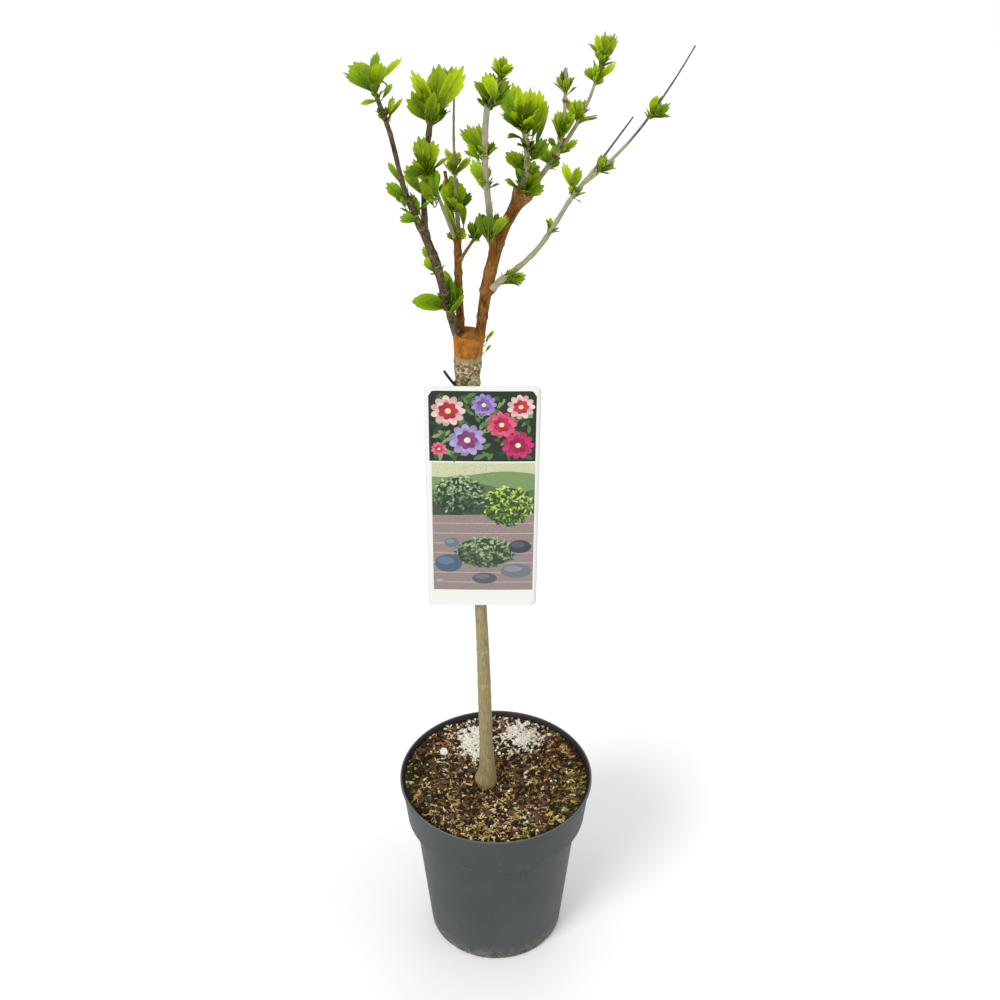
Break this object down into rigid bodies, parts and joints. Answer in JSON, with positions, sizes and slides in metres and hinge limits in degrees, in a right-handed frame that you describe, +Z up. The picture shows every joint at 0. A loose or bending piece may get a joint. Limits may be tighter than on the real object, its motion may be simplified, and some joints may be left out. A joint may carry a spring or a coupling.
{
  "type": "potted hibiscus shrub",
  "caption": "Young hibiscus shrub grown as a short standard in a round nursery pot: straight stem, forked head of pruned limbs and twigs with fans of new leaves, and a hanging card.",
  "frame": {"origin": "centre of the pot's flat underside, on the floor", "axes": "+Z up along the stem, +X to the right and -Y towards the viewer as the card faces"},
  "size_m": [0.2402, 0.1924, 0.9408],
  "materials": {
    "pot": "matt dark grey moulded plastic, fine scuffs, a little dust at the foot",
    "compost": "moist bark compost with pale chips, straw, perlite and a little moss",
    "stem_bark": "matt grey-tan bark with fine upright grain, corky ring below the graft",
    "dark_bark": "matt dark ridged bark",
    "red_bark": "smooth red-brown bark, flaking in places",
    "grey_bark": "smooth grey-green young bark",
    "tan_bark": "matt tan young bark with pale nodes",
    "leaf": "satin young leaf, brighter at the rim than at the foot",
    "card": null,
    "tie": "black flexible garden tie"
  },
  "bodies": {
    "root": {"pot": "pot", "compost": "compost", "trunk": "stem_bark", "left_limb": "dark_bark", "left_inner_limb": "dark_bark", "centre_limb": "red_bark", "centre_twig_side": "red_bark", "centre_twig_left": "grey_bark", "centre_twig_cut": "red_bark", "centre_twig_tall": "tan_bark", "right_limb": "red_bark", "grey_shoot": "grey_bark", "grey_twig": "tan_bark", "upright_shoot": "tan_bark", "tan_branch": "tan_bark", "tan_twig": "tan_bark", "low_branch": "grey_bark", "low_twig_bare": "grey_bark", "low_twig_long": "grey_bark", "leaves_left_tip": "leaf", "leaves_left_tip_side": "leaf", "leaves_left_inner": "leaf", "leaves_left_outer": "leaf", "leaves_left_low_up": "leaf", "leaves_left_low_side": "leaf", "leaves_left_back_small": "leaf", "leaves_inner_tip": "leaf", "leaves_twig_left_tip": "leaf", "leaves_twig_left_low": "leaf", "leaves_tall_middle": "leaf", "leaves_tall_low": "leaf", "leaves_centre_collar": "leaf", "leaves_side_twig_tip": "leaf", "leaves_grey_foot": "leaf", "leaves_grey_low": "leaf", "leaves_grey_middle": "leaf", "leaves_grey_top": "leaf", "leaves_grey_tip": "leaf", "leaves_upright_top": "leaf", "leaves_upright_right": "leaf", "leaves_upright_left": "leaf", "leaves_upright_foot": "leaf", "leaves_tan_low": "leaf", "leaves_tan_low_side": "leaf", "leaves_tan_middle": "leaf", "leaves_tan_high": "leaf", "leaves_tan_tip": "leaf", "leaves_twig_foot": "leaf", "leaves_twig_middle": "leaf", "leaves_low_bud": "leaf", "leaves_low_foot": "leaf", "leaves_low_middle": "leaf", "leaves_low_fork": "leaf", "leaves_low_far": "leaf", "label_card": "card", "label_tie": "tie"}
  },
  "joints": []
}
